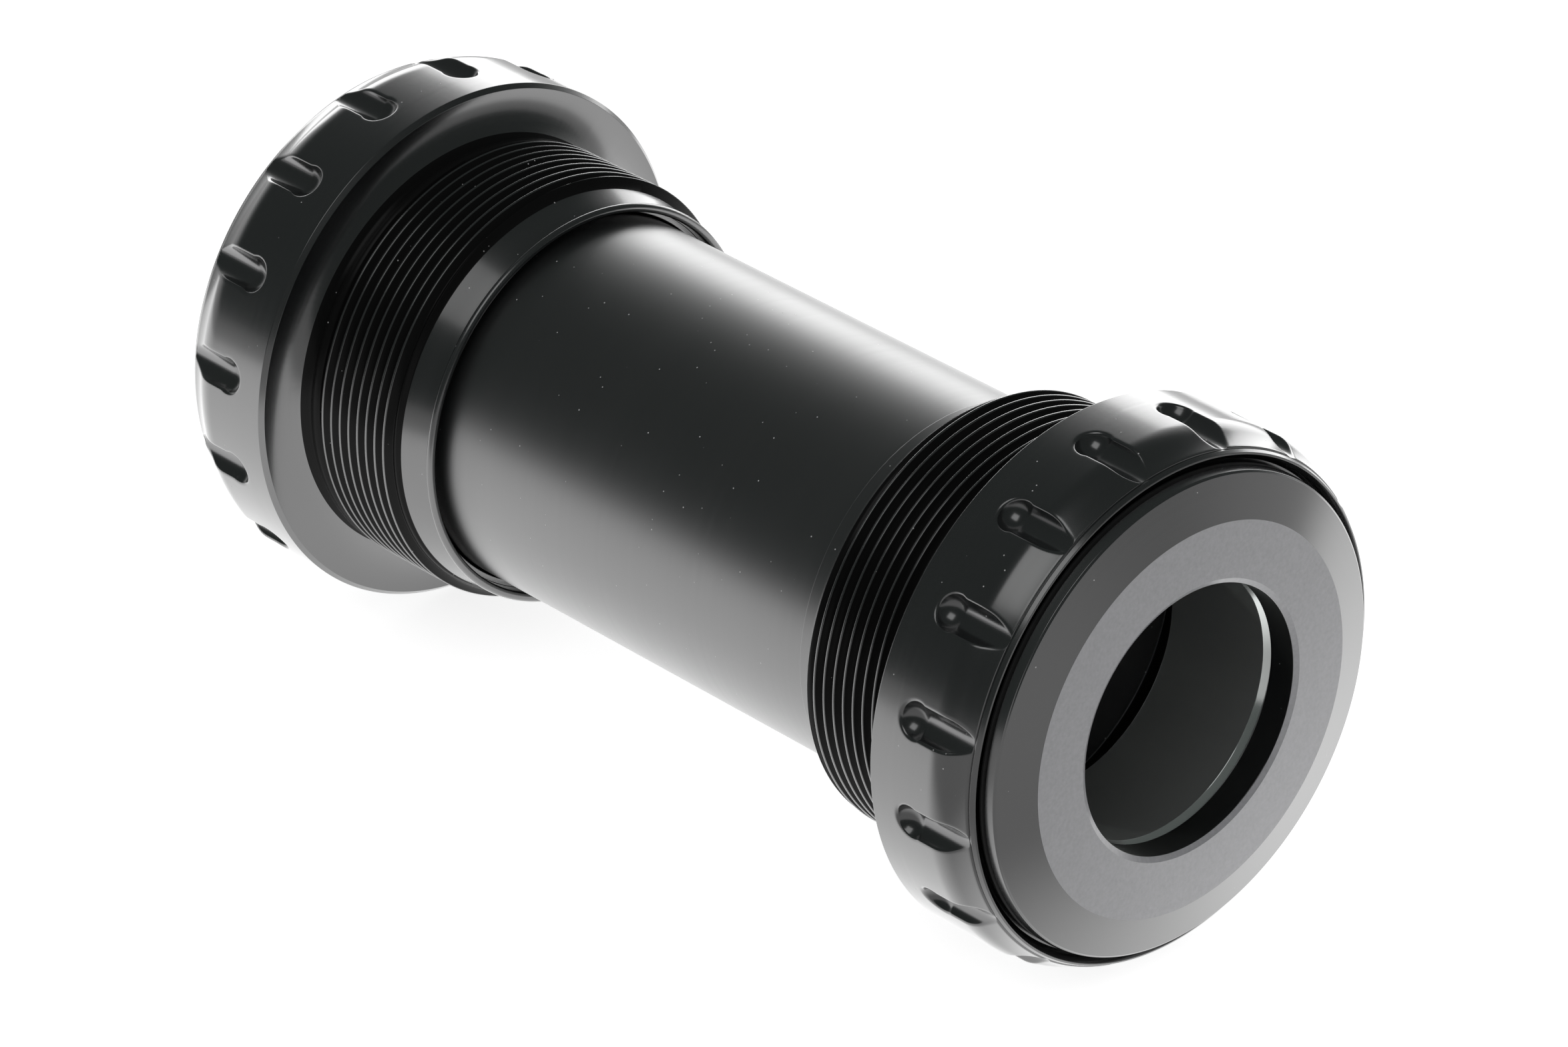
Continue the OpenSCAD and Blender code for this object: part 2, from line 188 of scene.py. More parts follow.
def soft_box(name, place, width, height, radiance, roll=0):
    """A soft box that faces the part. At a radiance of 1 it looks white."""
    lamp = bpy.data.lights.new(name, "AREA")
    lamp.shape = "RECTANGLE"
    lamp.size = width
    lamp.size_y = height
    lamp.energy = radiance * math.pi * width * height
    box = bpy.data.objects.new(name, lamp)
    box.location = place
    facing = (-Vector(place)).to_track_quat("-Z", "Y")
    box.rotation_euler = (facing @ Quaternion((0, 0, 1), math.radians(roll))).to_euler()
    bpy.context.scene.collection.objects.link(box)


def make_camera():
    eye = Vector((-0.42166, 0.38869, 0.31875))
    target = Vector((-0.00178, -0.00040, -0.00185))
    lens = bpy.data.cameras.new("camera")
    lens.sensor_width = 36
    lens.lens = 192.84
    lens.clip_start = 0.05
    lens.clip_end = 20
    camera = bpy.data.objects.new("camera", lens)
    camera.location = eye
    camera.rotation_euler = (target - eye).to_track_quat("-Z", "Y").to_euler()
    bpy.context.scene.collection.objects.link(camera)
    bpy.context.scene.camera = camera


bpy.context.scene.view_settings.view_transform = "Standard"
make_floor()
make_world()
make_camera()
soft_box("overhead_box", (-0.24, 0.455, 0.79), width=0.60, height=0.56, radiance=1.0, roll=-20)
soft_box("back_box", (0.75, -0.95, 0.20), width=1.8, height=0.62, radiance=2.0)


# ---- Cups ----
# Each cup is turned from aluminium bar, threaded on its boss and milled with notches for
# the wrench by a ball-nosed cutter, then anodised bright black. It screws into the shell.

MM = 0.001               # sizes are in millimetres, and meshes in metres
shell_half = 35.0        # from the middle to each shell face
notch_count = 16
notch_steps = 7          # columns of faces from a notch's edge to halfway to the next notch
columns = 2 * notch_count * notch_steps
pitch = 25.4 / 24
thread_top = 18.0
thread_depth = 0.65
thread_start = 1.9       # where the land beside the relief groove ends
land_r = 17.85
relief_r = 17.2
flange_r = 22.0
rim_r = 20.8             # the narrow flat ring round the dust cover
mouth_r = 19.95
seat_r = 18.5            # the bearings' outer radius
seat_s = 9.0             # where the bearings' front faces lie
step_foot = (9.502, 20.82)
notch_depth = 1.2
notch_ball = 1.5         # radius of the cutter's ball
notch_ball_s = 2.85 + notch_ball
ball_centre = flange_r - notch_depth + notch_ball
notch_reach = math.sqrt(notch_ball ** 2 - (ball_centre - flange_r) ** 2)
notch_flute = 1.35       # radius of the straight channel in front of the ball
flute_centre = flange_r - notch_depth + 0.03 + notch_flute
edge_round = 0.24        # reach of the soft edge round a notch
edge_support = 1.6       # where the rows beside that edge lie, as a multiple of its reach
crease_width = 0.07      # softness of the crease between ball and flute
hollow_middle = 22.2     # radius that a notch's section is swung about


def rounded(points, closed=True):
    """Rounds the corners of a profile of points (s, r) or (s, r, corner radius).

    s runs outwards from the shell's face, and r from the axis.
    """
    usual_radius, slight_turn = 0.03, math.radians(4)
    result = []
    count = len(points)
    for i, point in enumerate(points):
        here = np.array(point[:2], float)
        radius = point[2] if len(point) > 2 else usual_radius
        if not closed and i in (0, count - 1):
            result.append(here)
            continue
        before = np.array(points[i - 1][:2], float) - here
        after = np.array(points[(i + 1) % count][:2], float) - here
        a, b = np.linalg.norm(before), np.linalg.norm(after)
        before, after = before / a, after / b
        turn = math.pi - math.acos(np.clip(before @ after, -1, 1))
        if radius <= 0 or turn < slight_turn:
            result.append(here)
            continue
        # A corner takes less than half of each side, and a close row on each side supports it.
        cut = min(radius * math.tan(turn / 2), 0.42 * a, 0.42 * b)
        support = min(0.6 * cut, 0.05 * a, 0.05 * b)
        result.append(here + before * (cut + support))
        steps = 2 + int(turn / math.radians(30))
        for k in range(steps + 1):
            t = k / steps
            result.append(here + before * cut * (1 - t) ** 2 + after * cut * t ** 2)
        result.append(here + after * (cut + support))
    return np.array(result)


def arc(centre, radius, start, end, steps):
    """Points on an arc in (s, r), its angles counted from +r towards +s, in degrees."""
    angles = np.radians(np.linspace(start, end, steps + 1))
    return [(centre[0] + radius * math.sin(a), centre[1] + radius * math.cos(a)) for a in angles]


def leaning_arc(start, end, lean, steps):
    """Points in (s, r) on an arc that leans inwards by the given angle at its start."""
    chord = math.degrees(math.atan2(start[1] - end[1], end[0] - start[0]))
    radius = np.linalg.norm(end - start) / (2 * math.sin(math.radians(chord - lean)))
    tilt = math.radians(lean)
    centre = start - radius * np.array([math.sin(tilt), math.cos(tilt)])
    return arc(centre, radius, lean, 2 * chord - lean, steps)


def row_points(side, s, r, angle):
    """Points in metres. Angles run from +Z towards +Y; side is -1 or +1 along X."""
    s, r, angle = np.broadcast_arrays(s, r, angle)
    x = side * (shell_half + s)
    return np.stack([x, r * np.sin(angle), r * np.cos(angle)], -1) * MM


def grid_faces(rows, cols, wrap):
    i, j = np.meshgrid(np.arange(rows - 1), np.arange(cols if wrap else cols - 1), indexing="ij")
    i, j = i.ravel(), j.ravel()
    k = (j + 1) % cols
    return np.stack([i * cols + j, i * cols + k, (i + 1) * cols + k, (i + 1) * cols + j], 1)


def mesh_of(name, blocks):
    """Joins grids of points into one mesh, and drops doubled points and empty faces."""
    points, faces, first = [], [], 0
    for grid, wrap in blocks:
        rows, cols = grid.shape[:2]
        points.append(grid.reshape(-1, 3))
        faces.append(grid_faces(rows, cols, wrap) + first)
        first += rows * cols
    points, faces = np.concatenate(points), np.concatenate(faces)
    same_place = 2e-8
    keys = np.round(points / same_place).astype(np.int64)
    keys, chosen, back = np.unique(keys, axis=0, return_index=True, return_inverse=True)
    faces = back.ravel()[faces]
    clean = []
    for face in faces.tolist():
        corners = [c for n, c in enumerate(face) if c != face[n - 1]]
        if len(set(corners)) > 2:
            clean.append(corners)
    mesh = bpy.data.meshes.new(name)
    mesh.from_pydata(points[chosen].tolist(), [], clean)
    mesh.polygons.foreach_set("use_smooth", np.ones(len(mesh.polygons), bool))
    mesh.update()
    return mesh


def outward(mesh):
    """Welds a closed mesh and turns all its faces outwards."""
    shape = bmesh.new()
    shape.from_mesh(mesh)
    bmesh.ops.remove_doubles(shape, verts=shape.verts, dist=1e-7)
    bmesh.ops.recalc_face_normals(shape, faces=shape.faces)
    shape.to_mesh(mesh)
    shape.free()
    return mesh


def piece(name, mesh, material, body, replaced):
    """A finished piece that stands for a CAD node and rides on its body."""
    mesh.materials.clear()
    mesh.materials.append(material)
    made = bpy.data.objects.new(name, mesh)
    bpy.context.scene.collection.objects.link(made)
    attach(made, body)
    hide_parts(replaced)
    return made


def hollow_wall(swing, ball, end):
    """Height and half width of the hollow, where swing turns from its floor to its side."""
    reaches = []
    for centre, hollow in ((ball_centre, ball), (flute_centre, notch_flute)):
        off = hollow_middle - centre
        inside = hollow ** 2 - (off * np.sin(swing)) ** 2
        # A swing that misses the circle hardly reaches out at all.
        reaches.append(np.where(inside > 0, off * np.cos(swing)
                                + np.sqrt(np.maximum(inside, 0)), 0.01))
    # The cutter leaves a soft crease where the flute runs into the ball.
    share = np.clip(0.5 + (reaches[0] - reaches[1]) / crease_width, 0, 1)
    share = np.where(end, 1, share)
    far = (reaches[0] * share + reaches[1] * (1 - share)
           + np.where(end, 0, 0.5 * crease_width * share * (1 - share)))
    return hollow_middle - far * np.cos(swing), far * np.sin(swing)


def edge_swing(r, wide, ball, end):
    """The swing at which the hollow comes out through the flange, found by halving steps."""
    low, high = np.zeros(len(r)), np.full(len(r), math.pi / 2)
    for _ in range(40):
        swing = (low + high) / 2
        height, across = hollow_wall(swing, ball, end)
        inside = np.hypot(height, across * wide) < r
        low, high = np.where(inside, swing, low), np.where(inside, high, swing)
    return swing


def half_notch(side, stations):
    """Grids of points for half of one notch, its rounded edge and the flange beside it."""
    s, r = stations[:, 0], stations[:, 1]
    along = s - notch_ball_s
    # Rows nearer the shell than the ball's middle turn round it; the others lie straight across.
    end = (along < -1e-6) & (along > -notch_reach - 1e-6)
    around = np.where(end, np.arccos(np.clip(-along / notch_reach, -1, 1)), math.pi / 2)
    back, wide = np.cos(around), np.sin(around)
    base = np.where(end, notch_ball_s, s)
    ball = np.where(end, notch_ball, np.sqrt(np.maximum(notch_ball ** 2 - along ** 2, 0)))
    cut = end | ((along > -1e-6) & (r > flute_centre - notch_flute))
    swing = edge_swing(r, wide, ball, end)
    height, across = hollow_wall(swing, ball, end)
    height, across = np.where(cut, height, r), np.where(cut, across, 0)
    # The soft edge narrows where the notch does.
    soft = np.minimum(edge_round, 0.35 * across)
    soft_swing = soft / notch_ball
    swings = [(swing - edge_support * soft_swing) * share
              for share in (0, 0.1, 0.22, 0.36, 0.5, 0.64, 0.78, 0.9, 1.0)]
    walls = [hollow_wall(w, ball, end) for w in (*swings, swing - soft_swing)]
    notch = np.stack([row_points(side, base - np.where(cut, o, 0) * back,
                                 np.where(cut, np.hypot(h, o * wide), r),
                                 np.where(cut, np.arctan2(o * wide, h), 0))
                      for h, o in walls], 1)
    edge_s = base - across * back
    opening = np.arctan2(across * wide, height)
    beside = [row_points(side, edge_s - d * back, r, opening + d * wide / r)
              for d in (soft, edge_support * soft)]
    corner, a, b = row_points(side, edge_s, r, opening), notch[:, -1], beside[0]
    mids = [a * (1 - t) ** 2 + corner * 2 * t * (1 - t) + b * t ** 2
            for t in (0.17, 0.34, 0.5, 0.66, 0.83)]
    edge = np.stack([a, *mids, *beside], 1)
    near_s = edge_s - edge_support * soft * back
    near = opening + edge_support * soft * wide / r
    half = math.pi / notch_count
    flange = np.stack([row_points(side, near_s, r, near + (half - near) * k / notch_steps)
                       for k in range(notch_steps + 1)], 1)
    notched = np.flatnonzero(cut)
    rows = slice(notched[0], notched[-1] + 2)
    return flange, edge[rows], notch[rows]


def repeated(name, mesh, copies, turn, extra_mesh, material):
    """Copies a mesh round the axis in Geometry Nodes and welds it to an extra mesh."""
    extra = bpy.data.objects.new(name + "_extra", extra_mesh)
    bpy.context.scene.collection.objects.link(extra)
    tree = bpy.data.node_groups.new(name + "_ring", "GeometryNodeTree")
    for label, kind in (("Geometry", "NodeSocketGeometry"), ("Copies", "NodeSocketInt"),
                        ("Turn", "NodeSocketFloat"), ("Extra", "NodeSocketObject"),
                        ("Material", "NodeSocketMaterial")):
        tree.interface.new_socket(label, in_out="INPUT", socket_type=kind)
    tree.interface.new_socket("Geometry", in_out="OUTPUT", socket_type="NodeSocketGeometry")
    made = {}
    for label, kind in (("entry", "NodeGroupInput"), ("points", "GeometryNodePoints"),
                        ("index", "GeometryNodeInputIndex"), ("step", "ShaderNodeMath"),
                        ("angle", "ShaderNodeMath"), ("spin", "ShaderNodeCombineXYZ"),
                        ("place", "GeometryNodeInstanceOnPoints"),
                        ("object", "GeometryNodeObjectInfo"), ("join", "GeometryNodeJoinGeometry"),
                        ("real", "GeometryNodeRealizeInstances"),
                        ("weld", "GeometryNodeMergeByDistance"),
                        ("finish", "GeometryNodeSetMaterial"), ("exit", "NodeGroupOutput")):
        made[label] = tree.nodes.new(kind)
    made["step"].operation = "DIVIDE"
    made["step"].inputs[0].default_value = 2 * math.pi
    made["angle"].operation = "MULTIPLY_ADD"
    made["weld"].inputs["Distance"].default_value = 2e-7
    links = [("entry", "Copies", "points", "Count"), ("entry", "Copies", "step", 1),
             ("index", 0, "angle", 0), ("step", 0, "angle", 1), ("entry", "Turn", "angle", 2),
             ("angle", 0, "spin", "X"), ("points", 0, "place", "Points"),
             ("entry", "Geometry", "place", "Instance"), ("spin", 0, "place", "Rotation"),
             ("entry", "Extra", "object", "Object"), ("place", 0, "join", 0),
             ("object", "Geometry", "join", 0), ("join", 0, "real", 0), ("real", 0, "weld", 0),
             ("weld", 0, "finish", 0), ("entry", "Material", "finish", "Material"),
             ("finish", 0, "exit", 0)]
    for start, out, end, into in links:
        tree.links.new(made[start].outputs[out], made[end].inputs[into])
    sector = bpy.data.objects.new(name + "_sector", mesh)
    bpy.context.scene.collection.objects.link(sector)
    modifier = sector.modifiers.new("ring", "NODES")
    modifier.node_group = tree
    values = {"Copies": copies, "Turn": turn, "Extra": extra, "Material": material}
    for item in tree.interface.items_tree:
        if item.in_out == "INPUT" and item.name in values:
            modifier[item.identifier] = values[item.name]
    bpy.context.view_layer.update()
    evaluated = sector.evaluated_get(bpy.context.evaluated_depsgraph_get())
    result = bpy.data.meshes.new_from_object(evaluated)
    result.name = name
    sector.modifiers.clear()
    bpy.data.objects.remove(sector)
    bpy.data.objects.remove(extra)
    return outward(result)


def thread_grid(side, turn, end, end_r, slope):
    """The helical thread between two plain rings, with rows of points that follow the helix."""
    start = thread_start
    flat = pitch / 8
    run = thread_depth * math.tan(math.radians(30))
    low = -thread_depth
    corners = [(-flat / 2, 0), (flat / 2, 0), (flat / 2 + run, low), (pitch - flat / 2 - run, low)]
    shape = []
    for i, corner in enumerate(corners):
        here = np.array(corner)
        before = np.array(corners[i - 1]) - (pitch if i == 0 else 0, 0) - here
        after = np.array(corners[(i + 1) % 4]) + (pitch if i == 3 else 0, 0) - here
        # A corner of the crest is rounded with four points, and one of the root with two.
        crest = ((0.062, before), (0.03, before), (0.03, after), (0.062, after))
        root = ((0.05, before), (0.05, after))
        for reach, towards in crest if i < 2 else root:
            shape.append(tuple(here + towards / np.linalg.norm(towards) * reach))
    share = np.linspace(0, 1, columns + 1)
    angle = 2 * math.pi * share + turn
    turns = int((end - start) / pitch) + 3
    rows = np.array([start + k * pitch + u for k in range(-3, turns) for u, _ in shape])
    # A right-hand thread moves away from a viewer as it turns clockwise.
    climb = side * share[None, :] * pitch
    d = np.clip(rows[:, None] + climb, start, end)
    knots = np.array(shape + [(shape[0][0] + pitch, shape[0][1])])
    first = knots[0, 0]
    place = np.mod(d - start - climb - first, pitch) + first
    r = thread_top + np.interp(place, knots[:, 0], knots[:, 1])
    # The ridges taper at the end, and run out in a steep cone beside the land.
    r = np.minimum(r, end_r + (end - d) * slope)
    r = np.maximum(r, land_r - (d - start) * 2.0)
    r[d <= start + 1e-9] = land_r
    r[d >= end - 1e-9] = end_r
    return row_points(side, -d, r, angle[None, :])


def flange_rows():
    """Profile points of the flange's outside, with the rows that a notch's outline needs."""
    rows = [notch_ball_s - notch_reach * math.cos(math.radians(a)) for a in range(0, 91, 9)]
    rows += [notch_ball_s + q for q in (0.1, 0.2, 0.28, 0.36, 0.44, 0.52, 0.6, 0.68, 0.76, 0.86,
                                        1.0, 1.25, 1.55, 1.85)]
    straight = [(s, flange_r) for s in rows]
    # The front curve is two arcs that steepen until they meet and then flatten again.
    start, end, aside = np.array([6.4, flange_r]), np.array([9.5, rim_r + 0.15]), 4
    chord = math.degrees(math.atan2(start[1] - end[1], end[0] - start[0]))
    half = np.linalg.norm(end - start) / (2 * math.cos(math.radians(aside)))
    towards = math.radians(chord - aside)
    middle = start + half * np.array([math.cos(towards), -math.sin(towards)])
    steepest = 2 * chord - 2 * aside
    curve = leaning_arc(start, middle, 0, 8) + leaning_arc(middle, end, steepest, 9)[1:]
    # It ends in a small step, and the notches run out at its foot.
    edge = [(end[0] - 0.03, end[1] + 0.008), (end[0], end[1] - 0.012), step_foot]
    return straight + curve[:-1] + edge


def cup_mesh(name, side, turn, boss_end, thread_end, material):
    """A whole cup: notched flange, bearing seat, pocket and threaded boss.

    thread_end is the thread's depth from the shell's face, its radius there and its taper.
    """
    end_d, end_r, slope = thread_end
    before = rounded([(0.0, relief_r), (0, flange_r - 0.35, 0.05), (0.35, flange_r, 0.08),
                      (2.2, flange_r)], closed=False)
    after = rounded([step_foot, (9.51, rim_r, 0.01), (9.65, rim_r), (9.95, rim_r - 0.15, 0.03),
                     (10.0, rim_r - 0.3, 0.08), (9.3, mouth_r, 0.05), (seat_s, mouth_r, 0.05),
                     (seat_s, seat_r, 0.03), *boss_end, (-end_d, end_r)], closed=False)
    stations = np.array([tuple(p) for p in before] + flange_rows()
                        + [tuple(p) for p in after[1:]])
    grids = half_notch(side, stations)
    flip = np.array([1, -1, 1])
    sector = mesh_of(name + "_sector", [(g * f, False) for f in (1, flip) for g in grids])
    neck = rounded([(0.0, relief_r), (-0.95, relief_r, 0.1), (-1.2, land_r, 0.05),
                    (-thread_start, land_r)], closed=False)
    angle = np.linspace(0, 2 * math.pi, columns + 1) + turn
    neck = row_points(side, neck[:, :1], neck[:, 1:], angle[None, :])
    helix = thread_grid(side, turn, end_d, end_r, slope)
    boss_mesh = mesh_of(name + "_boss", [(neck, False), (helix, False)])
    return repeated(name, sector, notch_count, -turn, boss_mesh, material)


def turned_marks(tree, scale, detail):
    """Noise in fine lines round the axis, after the place, x and radius that it reads."""
    place = node(tree, "ShaderNodeTexCoord", output="Object")
    x, y, z = (node(tree, "ShaderNodeSeparateXYZ", None, {"Vector": place}, k) for k in "XYZ")
    radius = maths(tree, "SQRT", y * y + z * z)
    across = node(tree, "ShaderNodeCombineXYZ", None, {"X": x * scale, "Y": radius * scale})
    marks = node(tree, "ShaderNodeTexNoise", None,
                 {"Vector": across, "Scale": 1.0, "Detail": detail, "Roughness": 0.7}, "Fac")
    return place, x, radius, marks


def anodised(name, roughness, coat_rough, line_depth, dust, flat=None, painted_shade_inside=0, ior=2.1):
    """Black anodised aluminium with turning marks that run round the axis and a little dust.

    flat is (inner radius, outer radius, grey, roughness) of a paler ring on the front face.
    Inside the shade radius, painted shade: a darker copy with hardly any gloss stands for the
    shade in the thread's grooves and on the land. Radii are in millimetres.
    """
    material, tree = new_material(name)
    place, x, radius, marks = turned_marks(tree, 2600.0, 3.0)
    cloud = node(tree, "ShaderNodeTexNoise", None,
                 {"Vector": place, "Scale": 90.0, "Detail": 3.0}, "Fac")
    specks = {"Vector": place, "Scale": 1100.0}
    near = node(tree, "ShaderNodeTexVoronoi", None, specks, "Distance")
    kind = node(tree, "ShaderNodeSeparateColor", None,
                {"Color": node(tree, "ShaderNodeTexVoronoi", None, specks, "Color")}, "Red")
    chosen = maths(tree, "LESS_THAN", kind, dust)
    speck = node(tree, "ShaderNodeMapRange", None,
                 {"Value": near, "From Min": 0.035, "From Max": 0.08,
                  "To Min": 1.0, "To Max": 0.0}) * chosen
    colour = grey(0.008, (0.93, 1.0, 1.05))
    rough = roughness + (marks - 0.5) * 0.10 + (cloud - 0.5) * 0.08
    if flat:
        inner_r, outer_r, flat_grey, flat_rough = flat
        ring = (maths(tree, "LESS_THAN", radius, outer_r * MM)
                * maths(tree, "GREATER_THAN", radius, inner_r * MM))
        grain = node(tree, "ShaderNodeTexNoise", None,
                     {"Vector": place, "Scale": 3200.0, "Detail": 2.0}, "Fac")
        bluish = (0.97, 0.97, 1.03)
        grain = blended(tree, grain, grey(flat_grey * 0.75, bluish), grey(flat_grey * 1.25, bluish))
        colour = blended(tree, ring, colour, grain)
        rough = rough + ring * (flat_rough - roughness)
    colour = blended(tree, speck * 0.9, colour, grey(0.7))
    bump = node(tree, "ShaderNodeBump", None,
                {"Height": marks, "Strength": 1.0, "Distance": line_depth}, "Normal")
    sockets = {"Base Color": colour, "Roughness": limited(tree, rough + speck * 0.4),
               "IOR": ior, "Coat Weight": 1.0, "Coat Roughness": coat_rough, "Normal": bump}
    if not painted_shade_inside:
        finish_material(tree, sockets)
        return material
    # Painted shade: the thread's grooves and the land get a darker copy with hardly any gloss,
    # for the shade there; the drive boss's end ring keeps the bright finish like the flange.
    end_ring = 23.7
    bright = node(tree, "ShaderNodeBsdfPrincipled", None, sockets)
    painted_shade_copy = node(tree, "ShaderNodeBsdfPrincipled", None, {
        "Base Color": blended(tree, speck * 0.9, grey(0.006), grey(0.6)), "IOR": 1.22,
        "Roughness": limited(tree, rough), "Normal": bump})
    outside = maths(tree, "MAXIMUM", maths(tree, "GREATER_THAN", radius, painted_shade_inside * MM),
                    maths(tree, "LESS_THAN", maths(tree, "ABSOLUTE", x), end_ring * MM))
    mixed = node(tree, "ShaderNodeMixShader", None,
                 {"Fac": outside, "Shader": painted_shade_copy, "Shader_001": bright})
    node(tree, "ShaderNodeOutputMaterial", None, {"Surface": mixed})
    return material


# The cup gets painted shade inside 17.93 mm, under the thread's crests.
cup_finish = anodised("bright_black_anodised", roughness=0.24, coat_rough=0.145,
                      line_depth=1.2e-6, dust=0.25, painted_shade_inside=17.93)
pocket_s = -5.0          # how far the sleeve's pocket reaches towards the flange
groove_from, groove_to, groove_r = -8.4, -9.6, 16.5
sleeve_r = 15.6
sleeve_bore_r = 14.7


def boss_bore(seat_back, pocket_r):
    """Profile from the bearing seat's back through the sleeve's pocket and O-ring groove."""
    return [(seat_back, seat_r, 0.1), (seat_back, sleeve_bore_r, 0.1),
            (pocket_s, sleeve_bore_r, 0.1), (pocket_s, pocket_r, 0.05), (groove_from, pocket_r),
            (groove_from, groove_r), (groove_to, groove_r), (groove_to, pocket_r)]


non_drive_end = boss_bore(1.0, sleeve_r + 0.03) + [
    (-11.9, sleeve_r + 0.03, 0.05), (-11.9, 17.0, 0.06)]
# The drive cup's boss ends in a rolled lip and a slanting ring.
lip = arc((-14.225, 16.575), 0.375, 180, 360, 10)
drive_end = boss_bore(2.0, sleeve_r + 0.15) + [
    (-13.0, sleeve_r + 0.15, 0.1), (-13.0, 16.2, 0.05), *[(s, r, 0) for s, r in lip],
    (-13.8, 16.6, 0.05), (-13.5, 16.2, 0.05), (-11.3, 17.08, 0.03)]
# The third value is how far round each cup stands once it is tight, in degrees.
for name, side, turn, end, thread in (
        ("non_drive_cup", -1, 8.6, non_drive_end, (11.75, 17.136, 0.909)),
        ("drive_cup", 1, 180 - 8.2, drive_end, (11.25, 17.1, 2.0))):
    mesh = cup_mesh(name + "_turned", side, math.radians(turn), end, thread, cup_finish)
    piece(name + "_turned", mesh, cup_finish, "cups_and_sleeve", name)


# ---- Sleeve ----
# A thin aluminium tube between the cups that keeps dirt off the spindle. It is drawn,
# blasted and anodised satin black, with a low collar that stops against the near boss.

def turned(name, side, profile):
    """A closed profile of (s, r) points spun round the axis."""
    angle = np.linspace(0, 2 * math.pi, columns, endpoint=False)
    loop = np.vstack([profile, profile[:1]])
    grid = row_points(side, loop[:, :1], loop[:, 1:], angle[None, :])
    return outward(mesh_of(name, [(grid, True)]))


sleeve_finish = anodised("satin_black_anodised", roughness=0.34, coat_rough=0.34,
                         line_depth=1.5e-6, dust=0.35)
sleeve_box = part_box("center_sleeve")
sleeve_from = sleeve_box[0].x / MM - shell_half
sleeve_to = sleeve_box[1].x / MM - shell_half
collar_from, collar_to, collar_r = 11.9 - 2 * shell_half, 13.9 - 2 * shell_half, 15.9
sleeve = turned("center_sleeve_tube", 1, rounded([
    (sleeve_from, sleeve_bore_r, 0.1), (sleeve_from, sleeve_r, 0.1),
    (collar_from, sleeve_r, 0.03), (collar_from, collar_r, 0.06),
    (collar_to, collar_r, 0.06), (collar_to, sleeve_r, 0.03),
    (sleeve_to, sleeve_r, 0.1), (sleeve_to, sleeve_bore_r, 0.1)]))
piece("center_sleeve_tube", sleeve, sleeve_finish, "cups_and_sleeve", "center_sleeve")


# ---- Dust covers ----
# A turned aluminium cap on each inner race that turns with the spindle: a coned face
# around a flat ring for the crank, an edge that runs close inside the cup's mouth.

front_s = 12.0           # the outermost face of the whole part
flat_r = 16.1            # where the flat ring ends and the cone starts
skirt_r = 19.3           # the part that stands inside the cup's mouth
lip_groove_r = 18.9      # floor of the groove that holds the cover's lip seal
hollow_r = 18.35         # outer radius of the hollow behind the cone
# Each cover's hub ends at hub_s, on the front of its inner race.
for name, side, bore_r, hub_s, hub_r in (("non_drive_dust_cover", -1, 11, 9.4, 12.89),
                                         ("drive_dust_cover", 1, 12, 9.0, 13.69)):
    profile = rounded([
        (hub_s, bore_r, 0.05), (front_s - 0.25, bore_r, 0.04), (front_s, bore_r + 0.45, 0.04),
        (front_s, flat_r, 0.04),
        # The cone ends in two fine steps.
        (10.98, 19.45, 0.03), (10.9, 19.53, 0.02), (10.86, 19.6, 0.06), (10.1, 19.75, 0.05),
        (10.1, skirt_r, 0.05), (9.95, skirt_r), (9.95, lip_groove_r), (9.45, lip_groove_r),
        (9.45, skirt_r), (9.3, skirt_r, 0.05), (9.3, hollow_r), (10.2, hollow_r, 0.1),
        (10.2, hub_r + 1.1, 0.1), (9.3, hub_r + 1.1), (9.3, hub_r), (hub_s, hub_r)])
    finish = anodised(name + "_anodised", roughness=0.22, coat_rough=0.15, line_depth=1.2e-6,
                      dust=0.22, flat=(bore_r + 0.03, flat_r, 0.32, 0.5), ior=2.4)
    mesh = turned(name + "_cap", side, profile)
    piece(name + "_cap", mesh, finish, name.replace("dust_cover", "rotor"), name)


# ---- Bearings ----
# Two sealed ball bearings with ground steel races, a ring of ceramic balls in a nylon
# cage and a rubber seal on each face. The near inner race is long and shows in the bore.

def ground_steel():
    material, tree = new_material("ground_steel")
    marks = turned_marks(tree, 5000.0, 4.0)[-1]
    bump = node(tree, "ShaderNodeBump", None,
                {"Height": marks, "Strength": 1.0, "Distance": 5e-7}, "Normal")
    finish_material(tree, {
        "Base Color": blended(tree, marks, grey(0.72, (0.92, 1, 0.95)), grey(0.88)),
        "Metallic": 0.85, "Roughness": 0.10 + marks * 0.10, "Normal": bump})
    return material


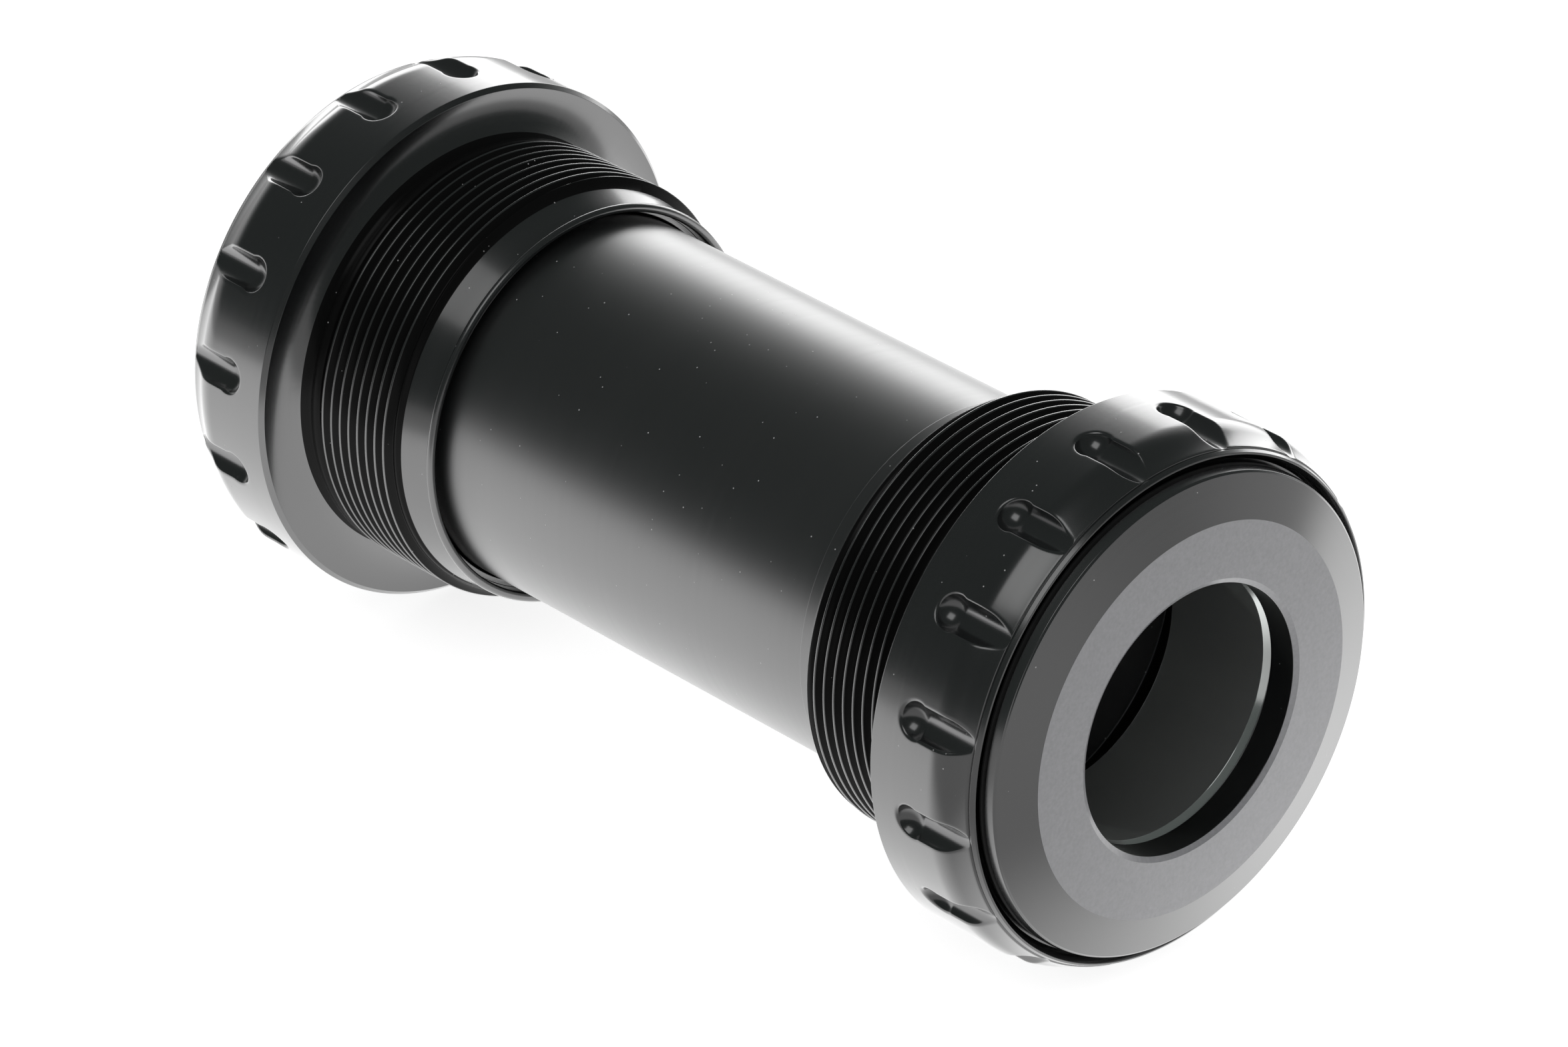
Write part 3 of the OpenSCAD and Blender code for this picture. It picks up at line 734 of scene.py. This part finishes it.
def moulded(name, dark, light, roughness, grain):
    """Moulded rubber or nylon, or a lapped ball, with a fine grain."""
    material, tree = new_material(name)
    place = node(tree, "ShaderNodeTexCoord", output="Object")
    cloud = node(tree, "ShaderNodeTexNoise", None,
                 {"Vector": place, "Scale": 900.0, "Detail": 3.0}, "Fac")
    bump = node(tree, "ShaderNodeBump", None,
                {"Height": cloud, "Strength": 1.0, "Distance": grain}, "Normal")
    finish_material(tree, {"Base Color": blended(tree, cloud, dark, light),
                           "Roughness": roughness + (cloud - 0.5) * 0.1, "Normal": bump})
    return material


steel = ground_steel()
rubber = moulded("seal_rubber", grey(0.012), grey(0.022), 0.6, 2e-6)
nylon = moulded("cage_nylon", (0.66, 0.60, 0.46, 1), (0.78, 0.73, 0.60, 1), 0.5, 2e-6)
ceramic = moulded("ball_ceramic", grey(0.03), grey(0.05), 0.08, 1e-7)
seal_room = 0.97         # from a bearing's face to the raised middle of its inner race
for name, side, bore_r, width, back, front, track_r, shoulder_r in (
        ("non_drive_inner_race", -1, 11, 8, -1.1, 9.4, 12.84, 13.14),
        ("drive_inner_race", 1, 12, 7, 2.0, 9.0, 13.64, 13.94)):
    # The balls' track is a groove in that raised middle.
    ball_r = (seat_r - bore_r) * 0.3 + 0.06
    mid_r = (seat_r + bore_r) / 2
    half_track = math.degrees(math.acos((mid_r - shoulder_r) / ball_r))
    track = arc((seat_s - width / 2, mid_r), ball_r, 180 - half_track, 180 + half_track, 10)
    raised_from, raised_to = seat_s - width + seal_room, seat_s - seal_room
    profile = rounded([
        (back, bore_r, 0.04), (back, track_r, 0.1), (raised_from, track_r),
        (raised_from, shoulder_r), *[(s, r, 0) for s, r in sorted(track)],
        (raised_to, shoulder_r), (raised_to, track_r), (front, track_r, 0.1),
        (front, bore_r + 0.7, 0.05), (front - 0.8, bore_r, 0.1)])
    mesh = turned(name + "_ground", side, profile)
    piece(name + "_ground", mesh, steel, name.replace("inner_race", "rotor"), name)

# The hidden solids and the O-rings, whose names end in "drive", keep their own shapes.
for name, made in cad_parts.items():
    finish = {"race": steel, "balls": ceramic, "cage": nylon, "seal": rubber,
              "drive": rubber}.get(name.split("_")[-1])
    if finish:
        made.data.materials.clear()
        made.data.materials.append(finish)
